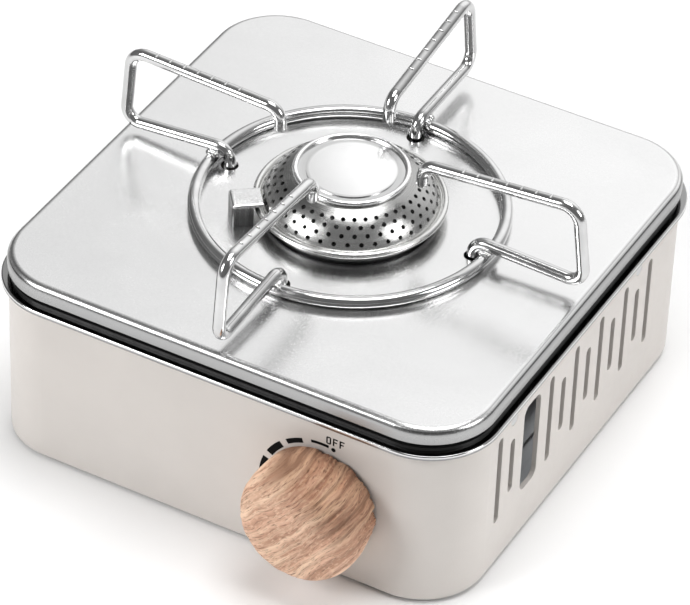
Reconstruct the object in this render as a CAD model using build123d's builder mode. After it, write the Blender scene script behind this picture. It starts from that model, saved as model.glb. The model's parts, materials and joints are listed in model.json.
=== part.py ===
"""A square camping stove that runs on a 68 mm butane cartridge lying inside its body.

Units are millimetres. +Z is up, the front with the knob faces -Y, and the origin is the centre of
the footprint on the surface that the stove stands on.
"""

from build123d import *
import os
from math import atan2, cos, degrees, radians, sin

os.makedirs("parts", exist_ok=True)

# ---- Driving dimensions -------------------------------------------------------------------------
DECK_W = 210.0  # stainless deck, across the flats
DECK_R = 28.0  # deck corner radius
DECK_TOP = 87.0
DECK_T = 1.0  # deck sheet
FOOT_H = 1.5  # gap under the shell
WALL = 2.0  # shell wall
BODY_W = 208.8
BODY_R = 27.0
SHELL_TOP = 74.6
RIM_W = 214.6
WIRE_R = 2.5  # trivet wire
KNOB_X = 48.0  # knob, regulator and cartridge share one axis along Y
KNOB_Z = 37.5
KNOB_R = 25.3
KNOB_LEN = 25.8
KNOB_GAP = 0.5
KNOB_TRAVEL = 120.0  # degrees from off to full
CARTRIDGE_R = 34.0
OVER = 1.0  # how far a cutting tool runs past a face
FIT = 0.05  # radial running clearance

FACE = BODY_W / 2
INNER_W = BODY_W - 2 * WALL
INNER_R = BODY_R - WALL
KNOB_BACK = -(FACE + KNOB_GAP)
KNOB_FRONT = KNOB_BACK - KNOB_LEN
DECK_Y = -(KNOB_FRONT + RIM_W / 2) / 2  # puts the origin at the footprint's centre


def level(z):
    """Horizontal plane at height z, centred on the deck."""
    return Plane((0, DECK_Y, z))


def across(y, x=0.0, z=0.0):
    """Upright plane at y from the deck's centre, facing the front, local x to the right, y up."""
    return Plane((x, DECK_Y + y, z), x_dir=(1, 0, 0), z_dir=(0, -1, 0))


def sideways(x, y=0.0, z=0.0):
    """Upright plane at x, facing right, local x to the rear, y up."""
    return Plane((x, DECK_Y + y, z), x_dir=(0, 1, 0), z_dir=(1, 0, 0))


def at(x, y, z):
    """A point given from the deck's centre."""
    return (x, DECK_Y + y, z)


def radial(angle):
    """Upright plane through the deck's centre line, local x outwards at this angle, y up."""
    turn = radians(angle)
    return Plane((0, DECK_Y, 0), x_dir=(cos(turn), sin(turn), 0), z_dir=(sin(turn), -cos(turn), 0))


STOVE_AXIS = Axis(at(0, 0, 0), (0, 0, 1))
KNOB_AXIS = Axis(at(KNOB_X, 0, KNOB_Z), (0, 1, 0))
KNOB_PLAN = Plane(at(KNOB_X, 0, KNOB_Z), x_dir=(1, 0, 0), z_dir=(0, 0, 1))

# ---- Body shell: side slots, window, spindle hole and cartridge port ----------------------------
SLOT_PITCH = 10.64
SLOT_COUNT = 13
SLOT_W = 3.8
SLOT_MID_Z = 44.5
LONG_SLOT = 42.0
SHORT_SLOT = 26.0
WINDOW_Y = -42.5
WINDOW_W = 13.7
WINDOW_R = 4.0
SHELL_EDGE_R = 1.2
SEAM = FACE - BODY_R  # where the flat walls meet the rounded corners
CORNER_SCREW = 85.5
SCREW_R = 1.5
SCREW_HOLE_R = 1.75
SIDE_SCREW_Z = 67.5
SINK_R = 2.8
SINK_DEPTH = 1.3
SPINDLE_HOLE_R = 4.5
PORT_R = CARTRIDGE_R + 0.5

slot_y = [(i - (SLOT_COUNT - 1) / 2) * SLOT_PITCH - 5.0 for i in range(SLOT_COUNT)]
SIDE_SCREW_Y = (slot_y[1], slot_y[-2])
WINDOW_SLOTS = (2, 3)  # the window takes the place of these on the right


def cut_slots(plane, skipped):
    """Alternate long and short upright slots through one side wall."""
    with BuildSketch(plane) as slots:
        for i, y in enumerate(slot_y):
            if i not in skipped:
                with Locations((y, SLOT_MID_Z)):
                    SlotOverall(LONG_SLOT if i % 2 == 0 else SHORT_SLOT, SLOT_W, rotation=90)
    extrude(slots.sketch, amount=WALL + 2 * OVER, mode=Mode.SUBTRACT)


def part_at_corners():
    """Divides a frame-like part into its four flat walls and four rounded corners, which stay in touch."""
    for side in (-1, 1):
        split(bisect_by=Plane(at(side * SEAM, 0, 0), z_dir=(1, 0, 0)), keep=Keep.BOTH)
        split(bisect_by=Plane(at(0, side * SEAM, 0), z_dir=(0, 1, 0)), keep=Keep.BOTH)


with BuildPart() as body_shell:
    with BuildSketch(level(FOOT_H)):
        RectangleRounded(BODY_W, BODY_W, BODY_R)
    extrude(amount=SHELL_TOP - FOOT_H)
    fillet(body_shell.faces().sort_by(Axis.Z)[0].edges(), radius=SHELL_EDGE_R)
    with BuildSketch(level(FOOT_H)):
        RectangleRounded(INNER_W, INNER_W, INNER_R)
    extrude(amount=SHELL_TOP - FOOT_H, mode=Mode.SUBTRACT)
    cut_slots(sideways(FACE - WALL - OVER), WINDOW_SLOTS)
    cut_slots(sideways(-FACE - OVER), ())
    with BuildSketch(sideways(FACE - WALL - OVER)):
        with Locations((WINDOW_Y, SLOT_MID_Z)):
            RectangleRounded(WINDOW_W, LONG_SLOT, WINDOW_R)
    extrude(amount=WALL + 2 * OVER, mode=Mode.SUBTRACT)
    for side in (1, -1):
        for y in SIDE_SCREW_Y:
            screw_plane = Plane(at(side * FACE, y, SIDE_SCREW_Z), z_dir=(side, 0, 0))
            with Locations(screw_plane):
                CounterSinkHole(SCREW_HOLE_R, SINK_R, depth=WALL + OVER)
    with BuildSketch(across(-FACE - OVER, KNOB_X, KNOB_Z)):
        Circle(SPINDLE_HOLE_R)
    extrude(amount=-(WALL + 2 * OVER), mode=Mode.SUBTRACT)
    with BuildSketch(across(FACE + OVER, KNOB_X, KNOB_Z)):
        Circle(PORT_R)
    extrude(amount=WALL + 2 * OVER, mode=Mode.SUBTRACT)
    part_at_corners()
body_shell.part.label = "body_shell"
export_step(body_shell.part, "parts/body_shell.step")

# ---- Corner brackets, spot-welded inside the shell, that take the bottom screws ------------------
BRACKET_REACH = 164.0  # each fills its corner where |x| + |y| is more than this
BRACKET_BOTTOM_Z = 3.0
CORNER_BRACKET_T = 1.5
BRACKET_CORNER_R = INNER_R + 0.4

with BuildPart() as corner_brackets:
    with BuildSketch(level(BRACKET_BOTTOM_Z)):
        RectangleRounded(INNER_W, INNER_W, BRACKET_CORNER_R)
        Rectangle(BRACKET_REACH * 2**0.5, BRACKET_REACH * 2**0.5, rotation=45, mode=Mode.SUBTRACT)
        with GridLocations(2 * CORNER_SCREW, 2 * CORNER_SCREW, 2, 2):
            Circle(SCREW_R + FIT, mode=Mode.SUBTRACT)
    extrude(amount=CORNER_BRACKET_T)
corner_brackets.part.label = "corner_brackets"
export_step(corner_brackets.part, "parts/corner_brackets.step")

# ---- Base plate with air vents, its screws and the rubber feet ----------------------------------
BASE_Z = 2.0
BASE_T = 1.0
BASE_TOP = BASE_Z + BASE_T
BASE_PLAY = 0.2
FOOT_POS = 66.0
FOOT_R = 8.0
FOOT_NECK_R = 3.0
FOOT_HEAD_R = 4.4
FOOT_HEAD_H = 2.0
VENT_L = 44.0
VENT_W = 5.0
VENT_X = -46.0
VENT_PITCH_X = 56.0
VENT_PITCH_Y = 13.0
VENT_ROWS = 7
REG_SCREW_X = 9.0  # regulator bracket screws, each side of the knob axis
REG_SCREW_Y = -80.0

with BuildPart() as base_plate:
    with BuildSketch(level(BASE_Z)):
        RectangleRounded(INNER_W - 2 * BASE_PLAY, INNER_W - 2 * BASE_PLAY, INNER_R - BASE_PLAY)
        with GridLocations(2 * CORNER_SCREW, 2 * CORNER_SCREW, 2, 2):
            Circle(SCREW_HOLE_R, mode=Mode.SUBTRACT)
        with GridLocations(2 * FOOT_POS, 2 * FOOT_POS, 2, 2):
            Circle(FOOT_NECK_R + FIT, mode=Mode.SUBTRACT)
        with Locations((KNOB_X, REG_SCREW_Y)):
            with GridLocations(2 * REG_SCREW_X, 1, 2, 1):
                Circle(SCREW_HOLE_R, mode=Mode.SUBTRACT)
        with Locations((VENT_X, 0)):
            with GridLocations(VENT_PITCH_X, VENT_PITCH_Y, 2, VENT_ROWS):
                SlotOverall(VENT_L, VENT_W, mode=Mode.SUBTRACT)
    extrude(amount=BASE_T)
base_plate.part.label = "base_plate"
export_step(base_plate.part, "parts/base_plate.step")

PAN_HEAD_R = 3.0
PAN_HEAD_H = 1.1
PAN_HEAD_EDGE = 0.5


def pan_screw(point, length, head_r=PAN_HEAD_R, shank_r=SCREW_R, up=(0, 0, 1)):
    """Adds a screw whose head lies just outside this point, its shank running along up."""
    seat = Plane(point, z_dir=up)
    with BuildSketch(seat) as head:
        Circle(head_r)
    extrude(head.sketch, amount=-PAN_HEAD_H)
    with BuildSketch(seat) as shank:
        Circle(shank_r)
    extrude(shank.sketch, amount=length)


CORNER_SCREW_LEN = 5.0
with BuildPart() as base_screws:
    for x in (-CORNER_SCREW, CORNER_SCREW):
        for y in (-CORNER_SCREW, CORNER_SCREW):
            pan_screw(at(x, y, BASE_Z), CORNER_SCREW_LEN)
    fillet(base_screws.faces().group_by(Axis.Z)[0].edges(), radius=PAN_HEAD_EDGE)
base_screws.part.label = "base_screws"
export_step(base_screws.part, "parts/base_screws.step")

FOOT_EDGE = 0.6
with BuildPart() as rubber_feet:
    with BuildSketch(level(0)):
        with GridLocations(2 * FOOT_POS, 2 * FOOT_POS, 2, 2):
            Circle(FOOT_R)
    extrude(amount=BASE_Z)
    fillet(rubber_feet.faces().group_by(Axis.Z)[0].edges(), radius=FOOT_EDGE)
    with BuildSketch(level(BASE_Z)):
        with GridLocations(2 * FOOT_POS, 2 * FOOT_POS, 2, 2):
            Circle(FOOT_NECK_R)
    extrude(amount=BASE_T)
    with BuildSketch(level(BASE_TOP)):
        with GridLocations(2 * FOOT_POS, 2 * FOOT_POS, 2, 2):
            Circle(FOOT_HEAD_R)
    extrude(amount=FOOT_HEAD_H)
rubber_feet.part.label = "rubber_feet"
export_step(rubber_feet.part, "parts/rubber_feet.step")

# ---- Rim trim, deck frame and their side screws -------------------------------------------------
RIM_T = 1.8
RIM_TOP = SHELL_TOP + RIM_T
RIM_R = BODY_R + (RIM_W - BODY_W) / 2
RIM_EDGE = 0.7
FRAME_W = INNER_W - 1.5
FRAME_T = 2.0
LEDGE_W = DECK_W - 2.4
LEDGE_T = 1.2
FRAME_BOTTOM = 73.0
TAB_W = 14.0
TAB_BOTTOM = 62.0

with BuildPart() as rim_trim:
    with BuildSketch(level(SHELL_TOP)):
        RectangleRounded(RIM_W, RIM_W, RIM_R)
    extrude(amount=RIM_T)
    fillet(rim_trim.faces().sort_by(Axis.Z)[-1].edges(), radius=RIM_EDGE)
    with BuildSketch(level(SHELL_TOP)):
        RectangleRounded(INNER_W, INNER_W, INNER_R)
    extrude(amount=RIM_T, mode=Mode.SUBTRACT)
rim_trim.part.label = "rim_trim"
export_step(rim_trim.part, "parts/rim_trim.step")

FRAME_R = INNER_R - (INNER_W - FRAME_W) / 2
FRAME_INNER_W = FRAME_W - 2 * FRAME_T
DECK_UNDER = DECK_TOP - DECK_T
with BuildPart() as deck_frame:
    with BuildSketch(level(FRAME_BOTTOM)):
        RectangleRounded(FRAME_W, FRAME_W, FRAME_R)
        RectangleRounded(FRAME_INNER_W, FRAME_INNER_W, FRAME_R - FRAME_T, mode=Mode.SUBTRACT)
    extrude(amount=DECK_UNDER - FRAME_BOTTOM)
    with BuildSketch(level(RIM_TOP)):
        RectangleRounded(LEDGE_W, LEDGE_W, DECK_R - (DECK_W - LEDGE_W) / 2)
        RectangleRounded(FRAME_INNER_W, FRAME_INNER_W, FRAME_R - FRAME_T, mode=Mode.SUBTRACT)
    extrude(amount=LEDGE_T)
    with BuildSketch(level(TAB_BOTTOM)):
        for x in (-1, 1):
            for y in SIDE_SCREW_Y:
                with Locations((x * (FRAME_W - FRAME_T) / 2, y)):
                    Rectangle(FRAME_T, TAB_W)
    extrude(amount=FRAME_BOTTOM - TAB_BOTTOM)
    with BuildSketch(sideways(-FACE)):
        for y in SIDE_SCREW_Y:
            with Locations((y, SIDE_SCREW_Z)):
                Circle(SCREW_R + FIT)
    extrude(amount=BODY_W, mode=Mode.SUBTRACT)
    part_at_corners()
deck_frame.part.label = "deck_frame"
export_step(deck_frame.part, "parts/deck_frame.step")

SIDE_SCREW_LEN = 7.5
SINK_PLAY = 0.1
with BuildPart() as side_screws:
    for side in (1, -1):
        for y in SIDE_SCREW_Y:
            profile_plane = Plane(at(side * FACE, y, SIDE_SCREW_Z), x_dir=(-side, 0, 0), z_dir=(0, 1, 0))
            screw_axis = Axis(at(side * FACE, y, SIDE_SCREW_Z), (side, 0, 0))
            with BuildSketch(profile_plane):
                with BuildLine():
                    Polyline(
                        (SINK_PLAY, 0),
                        (SINK_PLAY, SINK_R - 2 * SINK_PLAY),
                        (SINK_DEPTH - SINK_PLAY, SCREW_R),
                        (SIDE_SCREW_LEN, SCREW_R),
                        (SIDE_SCREW_LEN, 0),
                        close=True,
                    )
                make_face()
            revolve(axis=screw_axis)
side_screws.part.label = "side_screws"
export_step(side_screws.part, "parts/side_screws.step")

# ---- Stainless deck -----------------------------------------------------------------------------
DECK_SKIRT = 80.3
DECK_EDGE_R = 3.2
BURNER_HOLE_R = 35.0
HOOK_R = 54.8  # where the trivet hooks pass through the deck
HOOK_HOLE_R = 3.6
IGNITER_ANGLE = 218.3
ELECTRODE_R = 43.0
CERAMIC_R = 2.5

# Each trivet arm: its bearing, and the angle at which it was welded to the ring, in degrees.
ARMS = {"right": (-0.6, 0.5), "back": (90.7, 2.5), "left": (180.0, -2.3), "front": (270.2, -0.7)}
igniter_turn = radians(IGNITER_ANGLE)
electrode_x = ELECTRODE_R * cos(igniter_turn)
electrode_y = ELECTRODE_R * sin(igniter_turn)

with BuildPart() as top_plate:
    with BuildSketch(level(DECK_SKIRT)):
        RectangleRounded(DECK_W, DECK_W, DECK_R)
    extrude(amount=DECK_TOP - DECK_SKIRT)
    fillet(top_plate.faces().sort_by(Axis.Z)[-1].edges(), radius=DECK_EDGE_R)
    offset(amount=-DECK_T, openings=top_plate.faces().sort_by(Axis.Z)[0])
    with BuildSketch(level(DECK_UNDER - OVER)):
        Circle(BURNER_HOLE_R)
        for bearing, _ in ARMS.values():
            with Locations((HOOK_R * cos(radians(bearing)), HOOK_R * sin(radians(bearing)))):
                Circle(HOOK_HOLE_R)
        with Locations((electrode_x, electrode_y)):
            Circle(CERAMIC_R + FIT)
    extrude(amount=DECK_T + 2 * OVER, mode=Mode.SUBTRACT)
top_plate.part.label = "top_plate"
export_step(top_plate.part, "parts/top_plate.step")

# ---- Burner: pan, base, flange, perforated cone and cap -----------------------------------------
PAN_FLANGE_R = 38.5
PAN_T = 1.0
PAN_FLOOR = 79.0
PAN_WALL_R = 34.6
BASE_BEAD_R = 1.2
BASE_BEAD_Z = 89.2
BASE_R = 34.0
BASE_TOP_Z = 91.6
BASE_WALL = 2.0
NECK_R = 10.0
NECK_BOTTOM = 74.0
TUBE_R = 8.0
BURNER_SCREW_X = 24.0
BURNER_SCREW_LEN = 4.5

with BuildPart() as burner_pan:
    with BuildSketch(level(DECK_UNDER - PAN_T)):
        Circle(PAN_FLANGE_R)
        Circle(PAN_WALL_R, mode=Mode.SUBTRACT)
    extrude(amount=PAN_T)
    with BuildSketch(level(PAN_FLOOR)):
        Circle(PAN_WALL_R + PAN_T)
        Circle(PAN_WALL_R, mode=Mode.SUBTRACT)
    extrude(amount=DECK_UNDER - PAN_FLOOR)
    with BuildSketch(level(PAN_FLOOR)):
        Circle(PAN_WALL_R)
        Circle(NECK_R + FIT, mode=Mode.SUBTRACT)
        with GridLocations(2 * BURNER_SCREW_X, 1, 2, 1):
            Circle(SCREW_HOLE_R, mode=Mode.SUBTRACT)
    extrude(amount=PAN_T)
burner_pan.part.label = "burner_pan"
export_step(burner_pan.part, "parts/burner_pan.step")

BASE_FLOOR = PAN_FLOOR + PAN_T
with BuildPart() as burner_base:
    with BuildSketch(level(BASE_FLOOR)):
        Circle(BASE_R)
    extrude(amount=BASE_TOP_Z - BASE_FLOOR)
    with BuildSketch(level(BASE_FLOOR + BASE_WALL)):
        Circle(BASE_R - BASE_WALL)
    extrude(amount=BASE_TOP_Z - BASE_FLOOR, mode=Mode.SUBTRACT)
    with BuildSketch(level(NECK_BOTTOM)):
        Circle(NECK_R)
    extrude(amount=BASE_FLOOR - NECK_BOTTOM)
    with BuildSketch(level(NECK_BOTTOM)):
        Circle(TUBE_R + FIT)
        with GridLocations(2 * BURNER_SCREW_X, 1, 2, 1):
            Circle(SCREW_R + FIT)
    extrude(amount=BASE_FLOOR + 2 * BASE_WALL - NECK_BOTTOM, mode=Mode.SUBTRACT)
    with BuildSketch(radial(0)):
        with Locations((BASE_R, BASE_BEAD_Z)):
            Circle(BASE_BEAD_R)
    revolve(axis=STOVE_AXIS)
burner_base.part.label = "burner_base"
export_step(burner_base.part, "parts/burner_base.step")

with BuildPart() as burner_screws:
    for x in (-BURNER_SCREW_X, BURNER_SCREW_X):
        pan_screw(at(x, 0, PAN_FLOOR), BURNER_SCREW_LEN)
burner_screws.part.label = "burner_screws"
export_step(burner_screws.part, "parts/burner_screws.step")

FLANGE_INNER_R = 31.0
FLANGE_T = 1.6
BEAD_R = 1.3
BEAD_MID_R = 37.2
BEAD_Z = 93.1
FLANGE_TOP = BASE_TOP_Z + FLANGE_T
with BuildPart() as burner_flange:
    with BuildSketch(radial(0)):
        with Locations(((FLANGE_INNER_R + BEAD_MID_R) / 2, BASE_TOP_Z + FLANGE_T / 2)):
            Rectangle(BEAD_MID_R - FLANGE_INNER_R, FLANGE_T)
        with Locations((BEAD_MID_R, BEAD_Z)):
            Circle(BEAD_R)
    revolve(axis=STOVE_AXIS)
burner_flange.part.label = "burner_flange"
export_step(burner_flange.part, "parts/burner_flange.step")

CONE_T = 0.8
CONE_FOOT = (35.6, FLANGE_TOP)
CONE_MID = (31.2, 100.0)
CONE_TOP = (22.4, 105.5)
HOLES_PER_ROW = 40
HOLE_R = 0.9
HOLE_ROWS = (0.16, 0.34, 0.52, 0.70)  # up the cone's slope, from its foot to its top

with BuildPart() as burner_cone:
    with BuildSketch(radial(0)):
        with BuildLine():
            outer = ThreePointArc(CONE_FOOT, CONE_MID, CONE_TOP)
            bulge_centre = Vector(outer.arc_center.X, outer.arc_center.Y)
            shrink = (outer.radius - CONE_T) / outer.radius
            foot, middle, top = (bulge_centre + (outer @ t - bulge_centre) * shrink for t in (0, 0.5, 1))
            inner = ThreePointArc(foot, middle, top)
            Line(outer @ 0, inner @ 0)
            Line(outer @ 1, inner @ 1)
        make_face()
        with Locations(CONE_FOOT):
            Rectangle(4 * CONE_T, 2 * CONE_T, align=(Align.CENTER, Align.MAX), mode=Mode.SUBTRACT)
    revolve(axis=STOVE_AXIS)
    hole_planes = []
    for row, along in enumerate(HOLE_ROWS):
        for k in range(HOLES_PER_ROW):
            upright = radial((k + row % 2 / 2) * 360 / HOLES_PER_ROW)
            mouth = upright.from_local_coords(outer @ along)
            inside = upright.from_local_coords(bulge_centre)
            hole_planes.append(Plane(mouth, z_dir=mouth - inside))
    with BuildSketch(*hole_planes):
        Circle(HOLE_R)
    extrude(amount=2 * CONE_T, both=True, mode=Mode.SUBTRACT)
burner_cone.part.label = "burner_cone"
export_step(burner_cone.part, "parts/burner_cone.step")

CAP_BEAD_R = 1.2
CAP_BEAD_MID = 22.1
CAP_Z = 106.7
CAP_UNDER = CAP_Z - CAP_BEAD_R
DOME_R = 18.0
DOME_EDGE_Z = 106.9
DOME_RISE = 1.0
PLUG_R = 20.6
PLUG_T = 2.0
PLUG_BOTTOM = 103.2
with BuildPart() as burner_cap:
    with BuildSketch(radial(0)):
        with Locations((CAP_BEAD_MID, CAP_Z)):
            Circle(CAP_BEAD_R)
        with Locations((CAP_BEAD_MID / 2, (CAP_UNDER + CAP_Z) / 2 - 0.1)):
            Rectangle(CAP_BEAD_MID, CAP_Z - CAP_UNDER - 0.2)
        with Locations((PLUG_R - PLUG_T / 2, (PLUG_BOTTOM + CAP_UNDER) / 2)):
            Rectangle(PLUG_T, CAP_UNDER - PLUG_BOTTOM)
        with BuildLine():
            rim_side = Line((DOME_R, CAP_UNDER), (DOME_R, DOME_EDGE_Z))
            dome = TangentArc((0, DOME_EDGE_Z + DOME_RISE), rim_side @ 1, tangent=(1, 0))
            Polyline(dome @ 0, (0, CAP_UNDER), rim_side @ 0)
        make_face()
    revolve(axis=STOVE_AXIS)
burner_cap.part.label = "burner_cap"
export_step(burner_cap.part, "parts/burner_cap.step")

# ---- Igniter: cover, electrode, lead, piezo body and plunger ------------------------------------
COVER_IN = 39.2
COVER_OUT = 47.7
COVER_LIP = 35.4
COVER_W = 11.8
COVER_H = 10.05
COVER_T = 0.8
COVER_BEND = 1.3
igniter_out = Vector(cos(igniter_turn), sin(igniter_turn), 0)
cover_floor = Plane(at(0, 0, DECK_TOP), x_dir=igniter_out, z_dir=(0, 0, 1))
igniter_axis = Axis(at(0, 0, DECK_TOP), igniter_out)
with BuildPart() as igniter_cover:
    with BuildSketch(cover_floor):
        with Locations(((COVER_LIP + COVER_OUT) / 2, 0)):
            Rectangle(COVER_OUT - COVER_LIP, COVER_W)
    extrude(amount=COVER_H)
    bends = igniter_cover.edges().filter_by(Axis.Z).sort_by(igniter_axis)[-2:]
    bends += igniter_cover.edges().group_by(Axis.Z)[-1].sort_by(igniter_axis)[1:]
    fillet(bends, radius=COVER_BEND)
    open_faces = [igniter_cover.faces().sort_by(Axis.Z)[0], igniter_cover.faces().sort_by(igniter_axis)[0]]
    offset(amount=-COVER_T, openings=open_faces)
    with BuildSketch(cover_floor):
        with Locations(((COVER_LIP - OVER + COVER_IN) / 2, 0)):
            Rectangle(COVER_IN - COVER_LIP + OVER, COVER_W + OVER)
    extrude(amount=COVER_H - COVER_BEND, mode=Mode.SUBTRACT)
igniter_cover.part.label = "igniter_cover"
export_step(igniter_cover.part, "parts/igniter_cover.step")

CERAMIC_BOTTOM = 74.0
CERAMIC_TOP = 92.0
COLLAR_R = 3.6
COLLAR_H = 3.0
ROD_R = 0.8
ROD_Z = 94.4
ROD_TIP = 39.9
ROD_BEND = 1.6
LEAD_R = 1.25
electrode_axis = Plane(at(electrode_x, electrode_y, 0))
with BuildPart() as electrode_ceramic:
    with BuildSketch(electrode_axis.offset(CERAMIC_BOTTOM)):
        Circle(CERAMIC_R)
    extrude(amount=CERAMIC_TOP - CERAMIC_BOTTOM)
    with BuildSketch(electrode_axis.offset(DECK_UNDER - COLLAR_H)):
        Circle(COLLAR_R)
    extrude(amount=COLLAR_H)
    with BuildSketch(electrode_axis.offset(CERAMIC_BOTTOM)):
        Circle(ROD_R)
    extrude(amount=CERAMIC_TOP - CERAMIC_BOTTOM, mode=Mode.SUBTRACT)
electrode_ceramic.part.label = "electrode_ceramic"
export_step(electrode_ceramic.part, "parts/electrode_ceramic.step")

with BuildPart() as electrode_rod:
    with BuildLine(radial(IGNITER_ANGLE)) as rod_path:
        FilletPolyline(
            (ELECTRODE_R, CERAMIC_BOTTOM), (ELECTRODE_R, ROD_Z), (ROD_TIP, ROD_Z), radius=ROD_BEND
        )
    with BuildSketch(electrode_axis.offset(CERAMIC_BOTTOM)):
        Circle(ROD_R)
    sweep(path=rod_path.line)
electrode_rod.part.label = "electrode_rod"
export_step(electrode_rod.part, "parts/electrode_rod.step")

PIEZO_W = 9.0
PIEZO_LEFT = 8.0
PIEZO_RIGHT = 34.0
PIEZO_Y = -(INNER_W - PIEZO_W) / 2
PLUNGER_R = 2.5
PLUNGER_BORE_R = 2.8
PLUNGER_BORE = 12.0
PLUNGER_TIP = 40.7
PLUNGER_LEN = 12.0
with BuildPart() as piezo_igniter:
    with BuildSketch(sideways(PIEZO_LEFT, PIEZO_Y, KNOB_Z)):
        Rectangle(PIEZO_W, PIEZO_W)
    extrude(amount=PIEZO_RIGHT - PIEZO_LEFT)
    with BuildSketch(sideways(PIEZO_RIGHT - PLUNGER_BORE, PIEZO_Y, KNOB_Z)):
        Circle(PLUNGER_BORE_R)
    extrude(amount=PLUNGER_BORE + OVER, mode=Mode.SUBTRACT)
piezo_igniter.part.label = "piezo_igniter"
export_step(piezo_igniter.part, "parts/piezo_igniter.step")

with BuildPart() as piezo_plunger:
    with BuildSketch(sideways(PLUNGER_TIP - PLUNGER_LEN, PIEZO_Y, KNOB_Z)):
        Circle(PLUNGER_R)
    extrude(amount=PLUNGER_LEN)
piezo_plunger.part.label = "piezo_plunger"
export_step(piezo_plunger.part, "parts/piezo_plunger.step")

LEAD_BEND = 6.0
lead_points = (
    at(PIEZO_LEFT, PIEZO_Y, KNOB_Z),
    at(-6, PIEZO_Y, KNOB_Z),
    at(-24, -70, 50),
    at(electrode_x, electrode_y, 58),
    at(electrode_x, electrode_y, CERAMIC_BOTTOM),
)
with BuildPart() as ignition_lead:
    with BuildLine() as lead_path:
        FilletPolyline(*lead_points, radius=LEAD_BEND)
    with BuildSketch(Plane(lead_points[0], z_dir=(-1, 0, 0))):
        Circle(LEAD_R)
    sweep(path=lead_path.line)
ignition_lead.part.label = "ignition_lead"
export_step(ignition_lead.part, "parts/ignition_lead.step")

# ---- Gas path from the jet to the burner --------------------------------------------------------
TUBE_Z = 62.0
TUBE_T = 1.0
TUBE_START = -66.0
TUBE_BEND = 12.0
TUBE_END_Z = 83.5
BELL_R = 11.0
BELL_START = -71.0
with BuildPart() as mixing_tube:
    with BuildLine(sideways(0)) as tube_path:
        FilletPolyline((TUBE_START, TUBE_Z), (0, TUBE_Z), (0, TUBE_END_Z), radius=TUBE_BEND)
    with BuildSketch(across(TUBE_START, z=TUBE_Z)):
        Circle(TUBE_R)
        Circle(TUBE_R - TUBE_T, mode=Mode.SUBTRACT)
    sweep(path=tube_path.line)
    with BuildSketch(sideways(0, z=TUBE_Z)):
        with BuildLine():
            Polyline(
                (TUBE_START, TUBE_R - TUBE_T),
                (TUBE_START, TUBE_R),
                (BELL_START, BELL_R),
                (BELL_START, BELL_R - TUBE_T),
                close=True,
            )
        make_face()
    revolve(axis=Axis(at(0, 0, TUBE_Z), (0, 1, 0)))
mixing_tube.part.label = "mixing_tube"
export_step(mixing_tube.part, "parts/mixing_tube.step")


def ring_along(plane, outer_r, length, bore=0.0, mode=Mode.ADD):
    """Adds or cuts a round disc or ring that starts on this plane."""
    with BuildSketch(plane) as disc:
        Circle(outer_r)
        if bore:
            Circle(bore, mode=Mode.SUBTRACT)
    extrude(disc.sketch, amount=length, mode=mode)


PIPE_R = 2.0
PIPE_Y = -77.0
PIPE_BEND = 7.0
PIPE_START_Z = 50.5
PIPE_DEPTH = 3.0
JET_R = 5.0
JET_FRONT = -86.0
JET_SHOULDER = -73.5
JET_TIP = -69.0
NOZZLE_R = 2.0
ORIFICE_R = 0.3
BRACKET_T = 1.2
BRACKET_HALF = 12.0
BRACKET_BOTTOM = 50.0
JET_PLATE_Y = -82.2
TUBE_PLATE_Y = -66.0 + BRACKET_T

with BuildPart() as gas_jet:
    ring_along(across(JET_SHOULDER, z=TUBE_Z), JET_R, JET_SHOULDER - JET_FRONT)
    ring_along(across(JET_TIP, z=TUBE_Z), NOZZLE_R, JET_TIP - JET_SHOULDER)
    ring_along(across(JET_TIP, z=TUBE_Z), ORIFICE_R, JET_TIP - PIPE_Y, mode=Mode.SUBTRACT)
    pipe_seat = sideways(JET_R - PIPE_DEPTH, PIPE_Y, TUBE_Z)
    ring_along(pipe_seat, PIPE_R, PIPE_DEPTH + OVER, mode=Mode.SUBTRACT)
    ring_along(sideways(0, PIPE_Y, TUBE_Z), PIPE_R / 2, PIPE_DEPTH, mode=Mode.SUBTRACT)
gas_jet.part.label = "gas_jet"
export_step(gas_jet.part, "parts/gas_jet.step")

with BuildPart() as jet_bracket:
    with BuildSketch(level(DECK_UNDER - BRACKET_T)):
        with Locations((0, (JET_PLATE_Y + TUBE_PLATE_Y) / 2)):
            Rectangle(2 * BRACKET_HALF, TUBE_PLATE_Y - JET_PLATE_Y)
    extrude(amount=BRACKET_T)
    for y, bore in ((JET_PLATE_Y + BRACKET_T, JET_R), (TUBE_PLATE_Y, TUBE_R)):
        with BuildSketch(across(y)):
            with Locations((0, (BRACKET_BOTTOM + DECK_UNDER) / 2)):
                Rectangle(2 * BRACKET_HALF, DECK_UNDER - BRACKET_BOTTOM)
            with Locations((0, TUBE_Z)):
                Circle(bore, mode=Mode.SUBTRACT)
        extrude(amount=BRACKET_T)
jet_bracket.part.label = "jet_bracket"
export_step(jet_bracket.part, "parts/jet_bracket.step")

with BuildPart() as gas_pipe:
    with BuildLine(across(PIPE_Y)) as pipe_path:
        FilletPolyline(
            (KNOB_X, PIPE_START_Z), (KNOB_X, TUBE_Z), (JET_R - PIPE_DEPTH, TUBE_Z), radius=PIPE_BEND
        )
    with BuildSketch(Plane(at(KNOB_X, PIPE_Y, PIPE_START_Z))):
        Circle(PIPE_R)
        Circle(PIPE_R / 2, mode=Mode.SUBTRACT)
    sweep(path=pipe_path.line)
gas_pipe.part.label = "gas_pipe"
export_step(gas_pipe.part, "parts/gas_pipe.step")

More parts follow.
